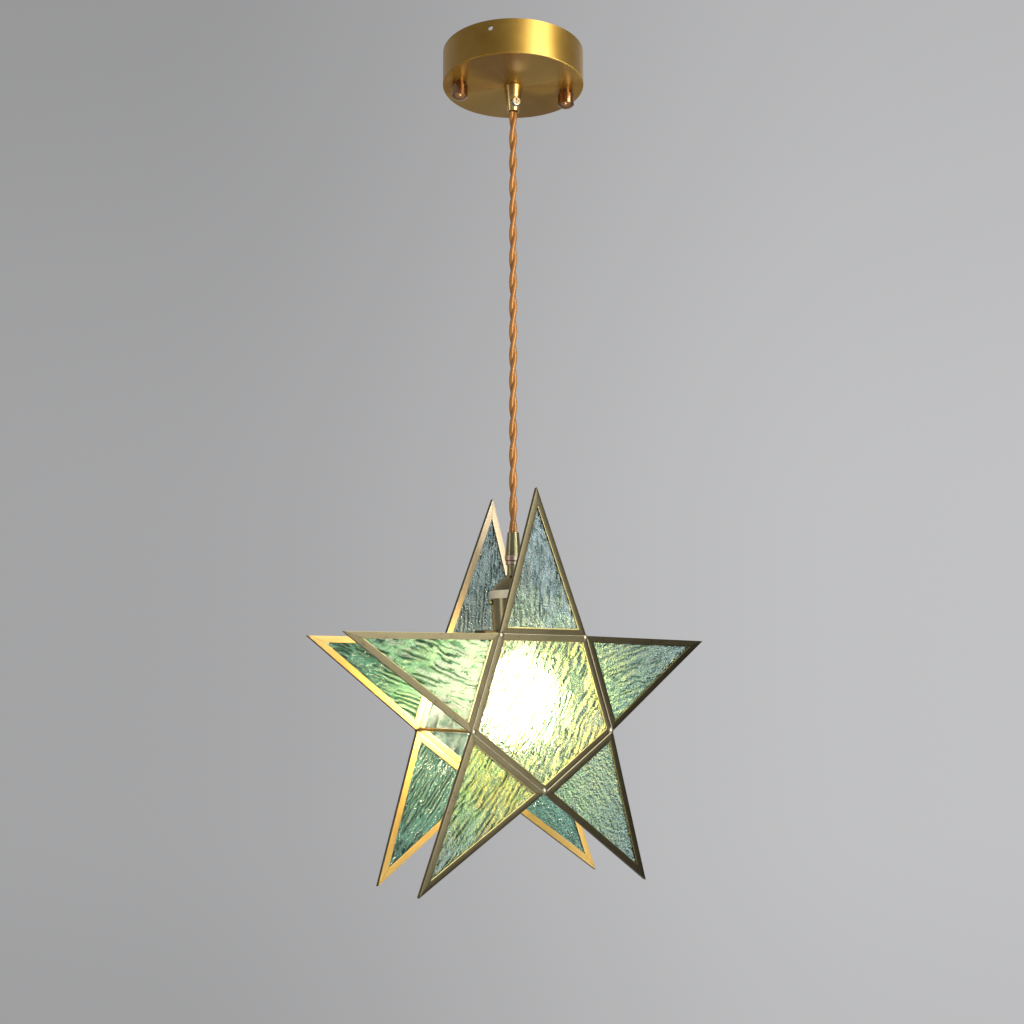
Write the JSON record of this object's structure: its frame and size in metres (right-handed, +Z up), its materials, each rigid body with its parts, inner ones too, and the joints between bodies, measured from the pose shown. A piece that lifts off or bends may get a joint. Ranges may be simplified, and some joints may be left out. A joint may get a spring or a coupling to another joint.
{
  "type": "star pendant lamp",
  "caption": "Hanging lamp: round brass canopy, twisted cloth cord, brass lampholder and a lit bulb between two flat star faces of teal rippled glass in brass channel.",
  "frame": {"origin": "centre of the canopy's rim on the ceiling, between the strap's two ceiling screws", "axes": "+Z up into the ceiling, the cord hangs along -Z, the lantern's front star faces -Y and +X is to its right"},
  "size_m": [0.3242, 0.12, 0.6898],
  "materials": {
    "brushed_brass": "fine radial brushing, satin",
    "aged_brass": "muted antique brass, satin, brighter on its edges",
    "polished_brass": "polished, warm",
    "dark_brass": "olive antique brass, satin",
    "solder": "bright solder with a brass flash",
    "chrome": "bright plating",
    "zinc_steel": "zinc plated",
    "gold_cord": "twisted silky braid, gold and copper",
    "core_plastic": "smooth insulation",
    "block_plastic": "moulded, pale",
    "porcelain": "white glaze",
    "ripple_glass": "teal iridescent glass with a rippled face",
    "frosted_glass": "frosted, lit from inside",
    "cap_metal": "nickel-bright threaded cap",
    "black_glass": "black insulator with a bright button"
  },
  "bodies": {
    "canopy": {"ceiling_crossbar": "zinc_steel", "canopy_studs": "zinc_steel", "stud_lock_nuts": "zinc_steel", "earth_screw": "zinc_steel", "terminal_block": "block_plastic", "canopy_lead": "core_plastic", "canopy_cup": "brushed_brass", "canopy_cord_grip": "brushed_brass", "grip_lock_nut": "zinc_steel", "grip_screw": "chrome"},
    "cap_nut_left": {"cap_nut_left": "polished_brass"},
    "cap_nut_right": {"cap_nut_right": "polished_brass"},
    "cord": {"pendant_cord": "gold_cord"},
    "lampholder": {"lampholder_grip": "dark_brass", "locking_collar": "dark_brass", "neck_tube": "dark_brass", "lampholder_lead": "core_plastic", "socket_dome": "dark_brass", "socket_ring": "polished_brass", "socket_barrel": "dark_brass", "barrel_screw": "polished_brass", "porcelain_insert": "porcelain", "screw_shell": "polished_brass", "centre_contact": "polished_brass", "shade_ring": "dark_brass"},
    "lantern": {"shade_bracket": "aged_brass", "spacer_rods": "polished_brass", "rod_solder": "solder", "front_solder": "solder", "back_solder": "solder", "front_pentagon_frame": "aged_brass", "front_pentagon_glass": "ripple_glass", "front_ray_frame_1": "aged_brass", "front_ray_glass_1": "ripple_glass", "front_ray_frame_2": "aged_brass", "front_ray_glass_2": "ripple_glass", "front_ray_frame_3": "aged_brass", "front_ray_glass_3": "ripple_glass", "front_ray_frame_4": "aged_brass", "front_ray_glass_4": "ripple_glass", "front_ray_frame_5": "aged_brass", "front_ray_glass_5": "ripple_glass", "back_pentagon_frame": "aged_brass", "back_pentagon_glass": "ripple_glass", "back_ray_frame_1": "aged_brass", "back_ray_glass_1": "ripple_glass", "back_ray_frame_2": "aged_brass", "back_ray_glass_2": "ripple_glass", "back_ray_frame_3": "aged_brass", "back_ray_glass_3": "ripple_glass", "back_ray_frame_4": "aged_brass", "back_ray_glass_4": "ripple_glass", "back_ray_frame_5": "aged_brass", "back_ray_glass_5": "ripple_glass"},
    "bulb": {"bulb_globe": "frosted_glass", "bulb_screw_cap": "cap_metal", "bulb_contact": "black_glass"}
  },
  "joints": [
    {"name": "cord_swing", "type": "hinge", "parent": "canopy", "child": "cord", "pos_m": [0, 0, -0.0524], "axis": [1, 0, 0], "range_deg": [-25, 25]},
    {"name": "lamp_tilt", "type": "hinge", "parent": "cord", "child": "lampholder", "pos_m": [0, 0, -0.4137], "axis": [0, 1, 0], "range_deg": [-25, 25]},
    {"name": "lantern_turn", "type": "hinge", "parent": "lampholder", "child": "lantern", "pos_m": [0, 0, -0.4944], "axis": [0, 0, 1], "continuous": true},
    {"name": "bulb_slide", "type": "slide", "parent": "lampholder", "child": "bulb", "axis": [0, 0, -1], "range_m": [0, 0.03]},
    {"name": "cap_nut_left_turn", "type": "hinge", "parent": "canopy", "child": "cap_nut_left", "pos_m": [-0.04323, 0.01573, -0.0301], "axis": [0, 0, 1], "continuous": true},
    {"name": "cap_nut_right_turn", "type": "hinge", "parent": "canopy", "child": "cap_nut_right", "pos_m": [0.04323, -0.01573, -0.0301], "axis": [0, 0, 1], "continuous": true}
  ]
}
